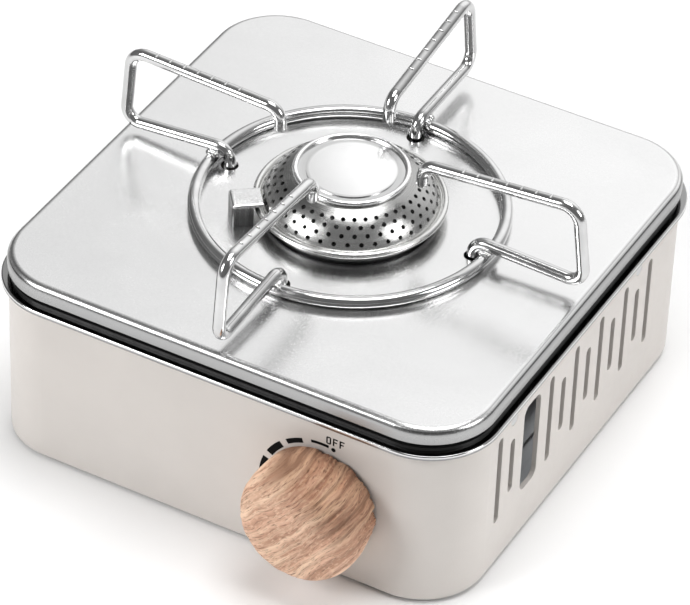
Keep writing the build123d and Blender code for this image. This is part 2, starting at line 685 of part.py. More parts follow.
# ---- Regulator and valve, on the knob's axis ----------------------------------------------------
REG_R = 15.0
REG_FRONT = -90.0
REG_REAR = -58.0
NOSE_R = 4.5
NOSE_FRONT = -94.6
SPINDLE_R = 3.0
SPINDLE_REAR = -86.0
SPINDLE_LEN = 31.0
CHANNEL_R = 2.0
CHAMBER_R = 15.0
CHAMBER_Y = -74.5
CHAMBER_X = 22.0
CHAMBER_DEPTH = 6.0
CHAMBER_BORE = 10.5
CHAMBER_ROOT = 40.0
BOSS_R = 5.0
BOSS_TOP = 56.0
COVER_SCREW_R = 1.1
COVER_SCREW_PCD = 12.8
COVER_SCREW_COUNT = 4
DIAPHRAGM_T = 0.6
REG_COVER_T = 8.5
REG_COVER_WALL = 1.5
COVER_SCREW_DEPTH = 4.0


def on_chamber(x):
    """Plane across the diaphragm chamber's axis, facing the chamber's cover."""
    return Plane(at(x, CHAMBER_Y, KNOB_Z), x_dir=(0, -1, 0), z_dir=(-1, 0, 0))


def cover_screw_cut(x, length):
    """Cuts the ring of holes for the cover screws, towards the cover from x."""
    with BuildSketch(on_chamber(x)) as holes:
        with PolarLocations(COVER_SCREW_PCD, COVER_SCREW_COUNT, start_angle=45):
            Circle(COVER_SCREW_R)
    extrude(holes.sketch, amount=length, mode=Mode.SUBTRACT)


knob_line = across(0, KNOB_X, KNOB_Z)
with BuildPart() as regulator_body:
    ring_along(knob_line.offset(-REG_REAR), REG_R, REG_REAR - REG_FRONT)
    ring_along(knob_line.offset(-REG_FRONT), NOSE_R, REG_FRONT - NOSE_FRONT)
    ring_along(on_chamber(CHAMBER_ROOT), CHAMBER_R, CHAMBER_ROOT - CHAMBER_X)
    ring_along(Plane(at(KNOB_X, PIPE_Y, KNOB_Z)), BOSS_R, BOSS_TOP - KNOB_Z)
    bores = (
        (knob_line.offset(-SPINDLE_REAR), SPINDLE_R + FIT, SPINDLE_REAR - NOSE_FRONT + OVER),
        (knob_line.offset(-REG_REAR - OVER), CHANNEL_R, REG_REAR - SPINDLE_REAR + 2 * OVER),
        (on_chamber(CHAMBER_X + CHAMBER_DEPTH), CHAMBER_BORE, CHAMBER_DEPTH + OVER),
        (on_chamber(KNOB_X), CHANNEL_R, KNOB_X - CHAMBER_X),
        (Plane(at(KNOB_X, PIPE_Y, PIPE_START_Z)), PIPE_R, BOSS_TOP - PIPE_START_Z + OVER),
        (Plane(at(KNOB_X, PIPE_Y, KNOB_Z)), PIPE_R / 2, PIPE_START_Z - KNOB_Z + OVER),
    )
    for start, bore_r, depth in bores:
        ring_along(start, bore_r, depth, mode=Mode.SUBTRACT)
    cover_screw_cut(CHAMBER_X + COVER_SCREW_DEPTH, COVER_SCREW_DEPTH + OVER)
regulator_body.part.label = "regulator_body"
export_step(regulator_body.part, "parts/regulator_body.step")

with BuildPart() as diaphragm:
    ring_along(on_chamber(CHAMBER_X), CHAMBER_R, DIAPHRAGM_T)
    cover_screw_cut(CHAMBER_X + OVER, 3 * OVER)
diaphragm.part.label = "diaphragm"
export_step(diaphragm.part, "parts/diaphragm.step")

COVER_SEAT_X = CHAMBER_X - DIAPHRAGM_T
with BuildPart() as regulator_cover:
    ring_along(on_chamber(COVER_SEAT_X), CHAMBER_R, REG_COVER_T)
    ring_along(on_chamber(COVER_SEAT_X), CHAMBER_BORE, REG_COVER_T - REG_COVER_WALL, mode=Mode.SUBTRACT)
    cover_screw_cut(COVER_SEAT_X + OVER, REG_COVER_T + 2 * OVER)
regulator_cover.part.label = "regulator_cover"
export_step(regulator_cover.part, "parts/regulator_cover.step")

COVER_HEAD_R = 2.0
cover_face = on_chamber(COVER_SEAT_X - REG_COVER_T)
with BuildPart() as cover_screws:
    with PolarLocations(COVER_SCREW_PCD, COVER_SCREW_COUNT, start_angle=45) as spots:
        seats = [cover_face.from_local_coords(spot.position) for spot in spots.local_locations]
    for seat in seats:
        pan_screw(seat, REG_COVER_T + DIAPHRAGM_T + COVER_SCREW_DEPTH, COVER_HEAD_R, COVER_SCREW_R, (1, 0, 0))
cover_screws.part.label = "cover_screws"
export_step(cover_screws.part, "parts/cover_screws.step")

SPRING_R = 6.0
SPRING_WIRE_R = 0.6
SPRING_PITCH = 1.5
SPRING_H = REG_COVER_T - REG_COVER_WALL - 2 * SPRING_WIRE_R - 0.1
SPRING_X = COVER_SEAT_X - SPRING_WIRE_R - FIT
with BuildPart() as regulator_spring:
    with BuildLine() as coil:
        Helix(SPRING_PITCH, SPRING_H, SPRING_R, center=at(SPRING_X, CHAMBER_Y, KNOB_Z), direction=(-1, 0, 0))
    with BuildSketch(Plane(coil.line @ 0, z_dir=coil.line % 0)):
        Circle(SPRING_WIRE_R)
    sweep(path=coil.line, is_frenet=True)
regulator_spring.part.label = "regulator_spring"
export_step(regulator_spring.part, "parts/regulator_spring.step")

SOCKET_R = 8.0
SOCKET_REAR = -50.0
SOCKET_BORE = 3.2
SEAL_R = 5.0
SEAL_T = 2.0
MAGNET_R = 14.5
MAGNET_REAR = -53.5
with BuildPart() as valve_socket:
    ring_along(knob_line.offset(-SOCKET_REAR), SOCKET_R, SOCKET_REAR - REG_REAR, bore=SOCKET_BORE)
    ring_along(knob_line.offset(-SOCKET_REAR), SEAL_R, SEAL_T, mode=Mode.SUBTRACT)
valve_socket.part.label = "valve_socket"
export_step(valve_socket.part, "parts/valve_socket.step")

with BuildPart() as socket_seal:
    ring_along(knob_line.offset(-SOCKET_REAR), SEAL_R, SEAL_T, bore=SOCKET_BORE)
socket_seal.part.label = "socket_seal"
export_step(socket_seal.part, "parts/socket_seal.step")

with BuildPart() as can_magnet:
    ring_along(knob_line.offset(-MAGNET_REAR), MAGNET_R, MAGNET_REAR - REG_REAR, bore=SOCKET_R)
can_magnet.part.label = "can_magnet"
export_step(can_magnet.part, "parts/can_magnet.step")

REG_BRACKET_HALF = 13.0
REG_BRACKET_TOP = 47.0
REG_BRACKET_REAR = -72.0
REG_SCREW_LEN = 5.0
NUT_R = 7.0
with BuildPart() as regulator_bracket:
    with BuildSketch(across(REG_FRONT, KNOB_X)):
        with Locations((0, (BASE_TOP + REG_BRACKET_TOP) / 2)):
            Rectangle(2 * REG_BRACKET_HALF, REG_BRACKET_TOP - BASE_TOP)
        with Locations((0, KNOB_Z)):
            Circle(NOSE_R, mode=Mode.SUBTRACT)
    extrude(amount=BRACKET_T)
    with BuildSketch(level(BASE_TOP)):
        with Locations((KNOB_X, (REG_FRONT + REG_BRACKET_REAR) / 2)):
            Rectangle(2 * REG_BRACKET_HALF, REG_BRACKET_REAR - REG_FRONT)
        with Locations((KNOB_X, REG_SCREW_Y)):
            with GridLocations(2 * REG_SCREW_X, 1, 2, 1):
                Circle(SCREW_R + FIT, mode=Mode.SUBTRACT)
    extrude(amount=BRACKET_T)
regulator_bracket.part.label = "regulator_bracket"
export_step(regulator_bracket.part, "parts/regulator_bracket.step")

with BuildPart() as bracket_screws:
    for x in (KNOB_X - REG_SCREW_X, KNOB_X + REG_SCREW_X):
        pan_screw(at(x, REG_SCREW_Y, BASE_Z), REG_SCREW_LEN)
bracket_screws.part.label = "bracket_screws"
export_step(bracket_screws.part, "parts/bracket_screws.step")

NUT_REAR = REG_FRONT - BRACKET_T
with BuildPart() as packing_nut:
    with BuildSketch(knob_line.offset(-NUT_REAR)):
        RegularPolygon(NUT_R, 6)
        Circle(NOSE_R, mode=Mode.SUBTRACT)
    extrude(amount=NUT_REAR - NOSE_FRONT)
packing_nut.part.label = "packing_nut"
export_step(packing_nut.part, "parts/packing_nut.step")

# ---- Cartridge bay: rails and heat shield -------------------------------------------------------
RAIL_REACH = 25.0
RAIL_T = 1.2
RAIL_TOP = 14.0
RAIL_FOOT = 10.0
RAIL_FRONT = -48.0
RAIL_REAR = 72.0
SHIELD_X = 11.0
SHIELD_T = 1.0
SHIELD_TOP = 75.0
SHIELD_FRONT = -56.0
SHIELD_REAR = 94.0
SHIELD_RIGHT = 88.0
SHIELD_FOOT = 8.0
BEND_R = 1.5

with BuildPart() as can_rails:
    for side in (-1, 1):
        with BuildSketch(across(RAIL_REAR, KNOB_X)):
            with BuildLine():
                Polyline(
                    (side * RAIL_REACH, BASE_TOP),
                    (side * RAIL_REACH, RAIL_TOP),
                    (side * (RAIL_REACH + RAIL_T), RAIL_TOP),
                    (side * (RAIL_REACH + RAIL_T), BASE_TOP + RAIL_T),
                    (side * (RAIL_REACH + RAIL_FOOT), BASE_TOP + RAIL_T),
                    (side * (RAIL_REACH + RAIL_FOOT), BASE_TOP),
                    close=True,
                )
            make_face()
        extrude(amount=RAIL_REAR - RAIL_FRONT)
can_rails.part.label = "can_rails"
export_step(can_rails.part, "parts/can_rails.step")

with BuildPart() as heat_shield:
    with BuildSketch(across(SHIELD_REAR)):
        with BuildLine() as shield_line:
            FilletPolyline(
                (SHIELD_X - SHIELD_FOOT, BASE_TOP + SHIELD_T / 2),
                (SHIELD_X + SHIELD_T / 2, BASE_TOP + SHIELD_T / 2),
                (SHIELD_X + SHIELD_T / 2, SHIELD_TOP - SHIELD_T / 2),
                (SHIELD_RIGHT, SHIELD_TOP - SHIELD_T / 2),
                radius=BEND_R,
            )
            offset(amount=SHIELD_T / 2, side=Side.BOTH)
        make_face()
    extrude(amount=SHIELD_REAR - SHIELD_FRONT)
heat_shield.part.label = "heat_shield"
export_step(heat_shield.part, "parts/heat_shield.step")

# ---- Knob, its insert, the valve spindle and the ignition cam -----------------------------------
KNOB_BACK_R = 22.6
KNOB_HEEL = (24.4, 2.8)
KNOB_BELLY = 12.5
KNOB_NOSE_R = 13.5
INSERT_R = 5.0
INSERT_LEN = 14.0
CAM_REAR = -95.9
CAM_W = 4.0
CAM_LOW = 7.0
CAM_RISE = 5.0
CAM_STEPS = 8

with BuildPart() as wood_knob:
    with BuildSketch(KNOB_PLAN):
        with BuildLine():
            Spline(
                (KNOB_BACK_R, KNOB_BACK),
                (KNOB_HEEL[0], KNOB_BACK - KNOB_HEEL[1]),
                (KNOB_R, KNOB_BACK - KNOB_BELLY),
                (KNOB_NOSE_R, KNOB_FRONT),
                tangents=((1, 0), (0.15, -1), (0, -1), (-1, 0)),
            )
            Polyline((KNOB_NOSE_R, KNOB_FRONT), (0, KNOB_FRONT), (0, KNOB_BACK), (KNOB_BACK_R, KNOB_BACK))
        make_face()
    revolve(axis=KNOB_AXIS)
    ring_along(knob_line.offset(-KNOB_BACK), INSERT_R, INSERT_LEN, mode=Mode.SUBTRACT)
wood_knob.part.label = "wood_knob"
export_step(wood_knob.part, "parts/wood_knob.step")

with BuildPart() as knob_insert:
    ring_along(knob_line.offset(-KNOB_BACK), INSERT_R, INSERT_LEN, bore=SPINDLE_R)
knob_insert.part.label = "knob_insert"
export_step(knob_insert.part, "parts/knob_insert.step")

with BuildPart() as valve_spindle:
    ring_along(knob_line.offset(-SPINDLE_REAR), SPINDLE_R, SPINDLE_LEN)
valve_spindle.part.label = "valve_spindle"
export_step(valve_spindle.part, "parts/valve_spindle.step")

# The cam lifts a flat-ended plunger evenly, by CAM_RISE over the whole turn of the knob.
lift = CAM_RISE / radians(KNOB_TRAVEL)
cam_points = []
for i in range(CAM_STEPS + 1):
    turned = radians(KNOB_TRAVEL) * i / CAM_STEPS
    bearing = radians(180) - turned
    reach = CAM_LOW + lift * turned
    along, aside = reach * cos(bearing) + lift * sin(bearing), reach * sin(bearing) - lift * cos(bearing)
    cam_points.append((along, aside))
with BuildPart() as ignition_cam:
    with BuildSketch(knob_line.offset(-CAM_REAR)):
        with BuildLine():
            flank = Spline(*cam_points)
            TangentArc(flank @ 0, flank @ 1, tangent=(0, -1))
        make_face()
        Circle(SPINDLE_R, mode=Mode.SUBTRACT)
    extrude(amount=CAM_W)
ignition_cam.part.label = "ignition_cam"
export_step(ignition_cam.part, "parts/ignition_cam.step")

# ---- Trivet: a wire ring with four bent wire arms hooked into the deck --------------------------
RING_R = 61.4
RING_Z = 89.8
PIVOT = (60.9, 91.8)
ARM_CORNERS = (
    (31.3, 111.8),
    (31.4, 121.9),
    (98.7, 127.6),
    (103.0, 92.96),
    (54.7, 94.85),
    (HOOK_R, 82.0),
)
ARM_BENDS = (6.0, 7.5, 6.0, 6.0)
NOTCH_COUNT = 7
NOTCH_START = 49.5
NOTCH_PITCH = 6.3
NOTCH_R = 0.7
NOTCH_DEPTH = 0.35
WIRE_END_R = 1.2

with BuildPart() as trivet_ring:
    with BuildSketch(radial(0)):
        with Locations((RING_R, RING_Z)):
            Circle(WIRE_R)
    revolve(axis=STOVE_AXIS)
trivet_ring.part.label = "trivet_ring"
export_step(trivet_ring.part, "parts/trivet_ring.step")


def pitched(point, pitch):
    """Turns a point of an arm's outline about the spot where the arm is welded to the ring."""
    out, up = point[0] - PIVOT[0], point[1] - PIVOT[1]
    turn = radians(pitch)
    return (PIVOT[0] + out * cos(turn) - up * sin(turn), PIVOT[1] + out * sin(turn) + up * cos(turn))


def trivet_arm(name, bearing, pitch):
    """One wire arm: an upper rail with notches, an outer upright, a lower rail and a hook."""
    corners = [pitched(corner, pitch) for corner in ARM_CORNERS]
    tip, rail_in, rail_out = (Vector(*corner) for corner in corners[:3])
    rail = (rail_out - rail_in).normalized()
    lifted = Vector(-rail.Y, rail.X) * (WIRE_R + NOTCH_R - NOTCH_DEPTH)
    first = rail_in + rail * (NOTCH_START - ARM_CORNERS[1][0]) + lifted
    notches = [first + rail * i * NOTCH_PITCH for i in range(NOTCH_COUNT)]
    with BuildPart() as arm:
        with BuildLine(radial(bearing)) as wire:
            FilletPolyline(*corners, radius=ARM_BENDS)
        with BuildSketch(Plane(wire.line @ 0, z_dir=wire.line % 0)):
            Circle(WIRE_R)
        sweep(path=wire.line)
        cut_ends = arm.faces().filter_by(GeomType.PLANE)
        fillet(cut_ends.edges(), radius=WIRE_END_R)
        with BuildSketch(radial(bearing)):
            with Locations(*notches):
                Circle(NOTCH_R)
        extrude(amount=WIRE_R + OVER, both=True, mode=Mode.SUBTRACT)
    arm.part.label = name
    export_step(arm.part, "parts/" + name + ".step")


for side, (bearing, pitch) in ARMS.items():
    trivet_arm("trivet_arm_" + side, bearing, pitch)
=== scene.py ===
"""The looks of a square camping stove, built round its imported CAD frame. Metres, +Z up, front at -Y."""

import json
import math
import random

import bmesh
import bpy
from mathutils import Matrix, Vector, noise


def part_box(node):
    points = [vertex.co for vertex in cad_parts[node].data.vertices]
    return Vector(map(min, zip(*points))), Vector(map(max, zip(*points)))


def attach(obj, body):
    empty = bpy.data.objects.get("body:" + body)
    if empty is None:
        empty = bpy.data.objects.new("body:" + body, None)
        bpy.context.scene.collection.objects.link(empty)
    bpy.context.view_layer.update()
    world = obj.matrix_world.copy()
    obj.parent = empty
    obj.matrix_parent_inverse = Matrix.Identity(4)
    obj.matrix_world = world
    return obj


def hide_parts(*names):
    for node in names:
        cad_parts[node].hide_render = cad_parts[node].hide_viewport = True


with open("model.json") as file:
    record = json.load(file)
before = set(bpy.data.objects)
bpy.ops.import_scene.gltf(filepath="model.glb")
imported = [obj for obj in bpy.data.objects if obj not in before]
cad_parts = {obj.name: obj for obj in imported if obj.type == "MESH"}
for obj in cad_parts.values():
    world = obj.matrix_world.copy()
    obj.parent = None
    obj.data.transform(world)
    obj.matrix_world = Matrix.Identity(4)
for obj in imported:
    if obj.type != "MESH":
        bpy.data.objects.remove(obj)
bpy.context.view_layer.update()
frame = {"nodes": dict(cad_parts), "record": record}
NODES = frame["nodes"]
MM = 0.001

# ---- Places taken from the frame ----------------------------------------------------------------
deck_low, deck_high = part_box("top_plate")
DECK_MID = (deck_low + deck_high) / 2
FACE_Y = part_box("body_shell")[0].y

# ---- Painted highlights and shade on the metal, to match how it reads in studio light -----------
# By height, from the lower end (0) to the upper end (1) of the deck's edge, the rim and the cover.
EDGE_SEEN = 7.0 * MM
EDGE_PAINTED_LIGHT = (
    (0.0, 0.46), (0.50, 0.52), (0.76, 0.50), (0.82, 0.26), (0.86, 1.0), (0.92, 1.0), (0.96, 0.5), (1.0, 1.0))
RIM_PAINTED_LIGHT = ((0.0, 0.30), (0.42, 0.42), (0.52, 0.95), (0.86, 1.0), (0.95, 0.40), (1.0, 0.34))
COVER_SEEN = 10.0 * MM
COVER_PAINTED_LIGHT = ((0.0, 0.16), (0.45, 0.24), (0.84, 0.42), (0.90, 0.9), (1.0, 1.0))
# By distance from the burner's axis, in mm: painted shade on the cone towards its middle, a painted dark
# ring on the cap.
CAP_PAINTED_LIGHT = ((0, 1.0), (16.6, 1.0), (18.2, 0.62), (20.6, 0.66), (21.6, 1.0), (25, 1.0))
CONE_PAINTED_SHADE = ((0, 0.5), (25, 0.5), (28.5, 0.6), (33, 0.92), (40, 1.0))

# ---- The wood of the knob -----------------------------------------------------------------------
GRAIN_TURN = (0, 50, 0)  # degrees; the grain rises to the right across the face
# The side of the knob that gets painted shade; the carved relief is also deepest there.
SHADE_TOWARD = (0.42, 0.30, 0.85)  # the knob's darker side
PALE_WOOD = (0.88, 0.62, 0.44)
TAN_WOOD = (0.75, 0.45, 0.31)
BROWN_WOOD = (0.52, 0.28, 0.18)
FURROW_BROWN = (0.33, 0.18, 0.11)
PORE_BROWN = (0.22, 0.11, 0.065)


# ---- Material tools -----------------------------------------------------------------------------
def tinted(color, factor):
    return tuple(min(1.0, c * factor) for c in color)


def greys(tones, reach=1.0):
    """Colour stops from pairs of a place and a brightness; places run from 0 to reach."""
    return [(at / reach, (tone, tone, tone)) for at, tone in tones]


def fill_ramp(ramp, stops):
    """Gives a colour ramp its stops, each a place from 0 to 1 and a colour."""
    ends = ramp.color_ramp.elements
    while len(ends) < len(stops):
        ends.new(0.5)
    for end, (at, color) in zip(ends, stops):
        end.position = at
        end.color = (*color, 1)


class Surface:
    """A Principled material, with short-hands for the nodes that give it its detail."""

    def __init__(self, name, color, roughness, metallic=0.0, **sockets):
        self.material = bpy.data.materials.new(name)
        self.material.use_nodes = True
        self.tree = self.material.node_tree
        self.shader = self.tree.nodes["Principled BSDF"]
        self.shader.inputs["Base Color"].default_value = (*color, 1)
        self.shader.inputs["Roughness"].default_value = roughness
        self.shader.inputs["Metallic"].default_value = metallic
        for socket, value in sockets.items():
            self.shader.inputs[socket.replace("_", " ")].default_value = value
        self.place = self.tree.nodes.new("ShaderNodeTexCoord").outputs["Object"]
        self.last_bump = None

    def feed(self, socket, value):
        """Links an input to another node's output, or sets it to a plain value."""
        if isinstance(value, bpy.types.NodeSocket):
            self.tree.links.new(value, socket)
        else:
            socket.default_value = value

    def node(self, kind, settings=None, **inputs):
        made = self.tree.nodes.new("ShaderNode" + kind)
        for key, value in (settings or {}).items():
            setattr(made, key, value)
        for key, value in inputs.items():
            self.feed(made.inputs[key.replace("_", " ")], value)
        return made

    def mapped(self, scale=(1, 1, 1), turn=(0, 0, 0), shift=(0, 0, 0)):
        """Object coordinates, moved, turned (degrees) and scaled."""
        moved = self.node("Mapping", Vector=self.place, Location=shift)
        turned = self.node("Mapping", Vector=moved.outputs[0], Rotation=[math.radians(a) for a in turn])
        return self.node("Mapping", Vector=turned.outputs[0], Scale=scale).outputs[0]

    def noise(self, scale, detail=3.0, vector=None, distortion=0.0):
        where = self.place if vector is None else vector
        made = self.node("TexNoise", Vector=where, Scale=scale, Detail=detail, Distortion=distortion)
        return made.outputs["Fac"]

    def fit(self, value, low, high, start=0.25, end=0.75):
        """Maps a value's start..end to low..high."""
        made = self.node("MapRange", Value=value, From_Min=start, From_Max=end, To_Min=low, To_Max=high)
        return made.outputs[0]

    def math(self, operation, first, second=0.0):
        made = self.node("Math", {"operation": operation})
        self.feed(made.inputs[0], first)
        self.feed(made.inputs[1], second)
        return made.outputs[0]

    def ramp(self, value, *stops):
        made = self.node("ValToRGB", Fac=value)
        fill_ramp(made, stops)
        return made.outputs[0]

    def blend(self, amount, first, second, mode="MIX"):
        made = self.node("Mix", {"data_type": "RGBA", "blend_type": mode})
        self.feed(made.inputs[0], amount)
        for index, value in ((6, first), (7, second)):
            self.feed(made.inputs[index], (*value, 1) if isinstance(value, tuple) else value)
        return made.outputs[2]

    def mottled(self, value, color, dark, light, spread=0.2):
        """color, from dark to light times as bright as the value rises through its middle."""
        return self.ramp(value, (0.5 - spread, tinted(color, dark)), (0.5 + spread, tinted(color, light)))

    def toned(self, base, low, high, tones):
        """base, darkened by height: tones run from the height low (0) to the height high (1)."""
        height = self.node("SeparateXYZ", Vector=self.place).outputs[2]
        shade = self.ramp(self.fit(height, 0.0, 1.0, low, high), *greys(tones))
        return self.blend(1.0, base, shade, "MULTIPLY")

    def color(self, socket):
        self.feed(self.shader.inputs["Base Color"], socket)

    def rough(self, socket):
        self.feed(self.shader.inputs["Roughness"], socket)

    def bump(self, height, depth):
        """Adds relief this many metres deep."""
        made = self.node("Bump", Height=height, Distance=depth, Strength=1.0)
        if self.last_bump:
            self.feed(made.inputs["Normal"], self.last_bump)
        self.last_bump = made.outputs[0]
        self.feed(self.shader.inputs["Normal"], self.last_bump)


def painted(name, color, roughness, grain=1500, depth=0.02 * MM):
    """Sprayed paint: faint mottling and a fine orange-peel surface."""
    s = Surface(name, color, roughness, Coat_Weight=0.15, Coat_Roughness=0.25)
    s.color(s.mottled(s.noise(28, 3), color, 0.965, 1.02))
    s.rough(s.fit(s.noise(300, 2), roughness - 0.05, roughness + 0.07))
    s.bump(s.noise(grain, 2), depth)
    return s.material


def brushed(name, color, roughness, along, depth=0.004 * MM, spread=0.05):
    """Sheet steel brushed in one direction, with short hairlines, faint smears and fine grain."""
    s = Surface(name, color, roughness, metallic=1.0)
    stretch = [18 if a else 900 for a in along]
    lines = s.noise(1.0, 4, s.mapped(scale=stretch))
    smears = s.noise(22, 3, distortion=0.6)
    s.color(s.mottled(lines, color, 0.93, 1.05, spread=0.25))
    s.rough(s.math("ADD", s.fit(lines, -spread, spread), s.fit(smears, roughness - 0.03, roughness + 0.05)))
    s.bump(lines, depth)
    s.bump(s.noise(2600, 2), depth * 0.7)
    return s.material


def satin_deck(name, color, roughness):
    """Satin pressed steel, fine even grain on top; painted shade on the turned-down edge, a painted
    highlight at its bend.
    """
    s = Surface(name, color, roughness, metallic=1.0)
    grain = s.noise(1500, 3)
    smears = s.noise(16, 4, distortion=0.8)
    speck = s.mottled(grain, (1, 1, 1), 0.95, 1.0, spread=0.15)
    speckled = s.blend(1.0, s.mottled(smears, color, 0.95, 1.03), speck, "MULTIPLY")
    s.color(s.toned(speckled, deck_high.z - EDGE_SEEN, deck_high.z, EDGE_PAINTED_LIGHT))
    s.rough(s.math("ADD", s.fit(grain, -0.03, 0.05), s.fit(smears, roughness - 0.02, roughness + 0.04)))
    s.bump(s.noise(900, 2), 0.002 * MM)
    s.bump(grain, 0.0015 * MM)
    return s.material


def folded_cover(name, color, roughness):
    """Folded sheet steel with fine upright lines, and painted light: a bright top and sides painted dark."""
    s = Surface(name, color, roughness, metallic=1.0)
    lines = s.noise(1.0, 3, s.mapped(scale=(900, 900, 30)))
    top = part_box("igniter_cover")[1].z
    worn = s.mottled(lines, color, 0.88, 1.03)
    s.color(s.toned(worn, top - COVER_SEEN, top, COVER_PAINTED_LIGHT))
    s.rough(s.fit(lines, roughness - 0.04, roughness + 0.08))
    s.bump(s.noise(900, 3), 0.004 * MM)
    return s.material


def rolled_rim(name, color, roughness):
    """The polished rim, with painted light: a painted highlight band between edges painted darker."""
    s = Surface(name, color, roughness, metallic=1.0)
    low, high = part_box("rim_trim")
    worn = s.mottled(s.noise(60, 3), color, 0.94, 1.04)
    s.color(s.toned(worn, low.z, high.z, RIM_PAINTED_LIGHT))
    s.rough(s.fit(s.noise(160, 5, distortion=0.4), roughness * 0.7, roughness * 1.7))
    s.bump(s.noise(420, 2), 0.003 * MM)
    return s.material


def bright_wire(name, color, roughness):
    """Drawn wire, bright but not quite even, with faint wear, soft dents and darker patches."""
    s = Surface(name, color, roughness, metallic=1.0)
    s.color(s.mottled(s.noise(75, 4), color, 0.84, 1.06))
    s.rough(s.fit(s.noise(190, 5, distortion=0.4), roughness * 0.7, roughness * 1.6))
    s.bump(s.noise(380, 3), 0.010 * MM)
    s.bump(s.noise(2400, 2), 0.002 * MM)
    return s.material


def polished(name, color, roughness, depth=0.003 * MM):
    """Plain polished metal, with fine wear and a slight waviness."""
    s = Surface(name, color, roughness, metallic=1.0)
    s.color(s.mottled(s.noise(60, 3), color, 0.94, 1.04))
    s.rough(s.fit(s.noise(160, 5, distortion=0.4), roughness * 0.7, roughness * 1.7))
    s.bump(s.noise(420, 2), depth)
    s.bump(s.noise(2400, 2), depth * 0.5)
    return s.material


def spun(name, color, roughness, middle, tones, pitch=0.35 * MM, depth=0.006 * MM):
    """Steel turned on a lathe: fine rings round a vertical axis through middle.

    tones are pairs of a radius in mm and how bright the metal is painted there: painted shade and
    reflections.
    """
    s = Surface(name, color, roughness, metallic=1.0)
    local = s.mapped(shift=(-middle.x, -middle.y, 0))
    parts = s.node("SeparateXYZ", Vector=local)
    flat = s.node("CombineXYZ", X=parts.outputs[0], Y=parts.outputs[1])
    radius = s.node("VectorMath", {"operation": "LENGTH"}, Vector=flat.outputs[0]).outputs["Value"]
    line = s.node("CombineXYZ", X=s.math("ADD", radius, parts.outputs[2]))
    rings = s.noise(1 / pitch, 2, line.outputs[0])
    reach = tones[-1][0]
    outward = s.fit(radius, 0.0, 1.0, 0.0, reach * MM)
    shade = s.ramp(outward, *greys(tones, reach))
    s.color(s.blend(1.0, s.mottled(rings, color, 0.95, 1.03), shade, "MULTIPLY"))
    wear = s.fit(s.noise(140, 4), roughness - 0.04, roughness + 0.06)
    s.rough(s.math("ADD", s.fit(rings, -0.04, 0.05), wear))
    s.bump(rings, depth)
    return s.material


def cast(name, color, roughness, metallic, grain=700, depth=0.08 * MM):
    """Sand-cast or moulded grain."""
    s = Surface(name, color, roughness, metallic=metallic)
    grit = s.noise(grain, 4)
    s.color(s.mottled(s.noise(90, 4), color, 0.8, 1.15))
    s.rough(s.fit(grit, roughness - 0.1, roughness + 0.1))
    s.bump(grit, depth)
    return s.material


def plastic(name, color, roughness, depth=0.01 * MM):
    """Moulded plastic, rubber or glazed ceramic, with a faint uneven skin."""
    s = Surface(name, color, roughness)
    s.color(s.mottled(s.noise(70, 3), color, 0.9, 1.08))
    s.rough(s.fit(s.noise(420, 3), roughness - 0.06, roughness + 0.08))
    s.bump(s.noise(2000, 2), depth)
    return s.material


def knob_wood(name):
    """Pink-brown wood: fine grain rising to the right, dark furrows, pores and pale flecks, and painted
    shade on one side.
    """
    s = Surface(name, TAN_WOOD, 0.55)
    low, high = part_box("wood_knob")
    middle = (low + high) / 2
    centred = [-c for c in middle]
    grain = s.mapped(shift=centred, turn=GRAIN_TURN)
    wander = s.noise(34, 2, grain)
    sway = s.node("CombineXYZ", Z=s.fit(wander, -2.6 * MM, 2.6 * MM, 0.2, 0.8))
    bent = s.node("VectorMath", {"operation": "ADD"}, Vector=grain)
    s.feed(bent.inputs[1], sway.outputs[0])

    def layered(along, through, thick):
        """Coordinates for layers: long along the grain and through the wood, thin across it."""
        return s.node("Mapping", Vector=bent.outputs[0], Scale=(along, through, thick)).outputs[0]

    bands = s.noise(1.0, 2, layered(12, 14, 130))
    streaks = s.noise(1.0, 3, layered(30, 34, 520))
    pores = s.noise(1.0, 3, layered(230, 230, 1900))
    flecks = s.noise(1.0, 2, layered(500, 500, 1300))
    ground = s.ramp(bands, (0.30, BROWN_WOOD), (0.42, TAN_WOOD), (0.56, PALE_WOOD), (0.70, TAN_WOOD))
    lined = s.blend(s.fit(streaks, 1.0, 0.0, 0.36, 0.54), ground, BROWN_WOOD)
    pored = s.blend(s.fit(pores, 0.9, 0.0, 0.30, 0.47), lined, PORE_BROWN)
    flecked = s.blend(s.fit(flecks, 0.0, 0.6, 0.50, 0.68), pored, PALE_WOOD)
    # Painted shade: the wood darkens towards SHADE_TOWARD, and the dark furrows are painted darker on that
    # side too.
    upward = s.node("VectorMath", {"operation": "DOT_PRODUCT"}, Vector=s.mapped(shift=centred))
    s.feed(upward.inputs[1], Vector(SHADE_TOWARD).normalized())
    shaded = s.fit(upward.outputs["Value"], 0.0, 1.0, 4 * MM, 17 * MM)
    painted_shade = s.ramp(shaded, (0.0, (1, 1, 1)), (1.0, (0.60, 0.53, 0.47)))
    ridges = s.noise(1.0, 2, layered(16, 18, 330))
    furrows = s.math("MULTIPLY", s.fit(ridges, 0.85, 0.0, 0.36, 0.50), s.fit(shaded, 0.30, 1.0, 0.0, 1.0))
    s.color(s.blend(1.0, s.blend(furrows, flecked, FURROW_BROWN), painted_shade, "MULTIPLY"))
    s.rough(s.fit(pores, 0.72, 0.48))
    s.bump(ridges, 1.1 * MM)
    s.bump(bands, 0.9 * MM)
    s.bump(streaks, 0.8 * MM)
    s.bump(pores, 0.25 * MM)
    return s.material


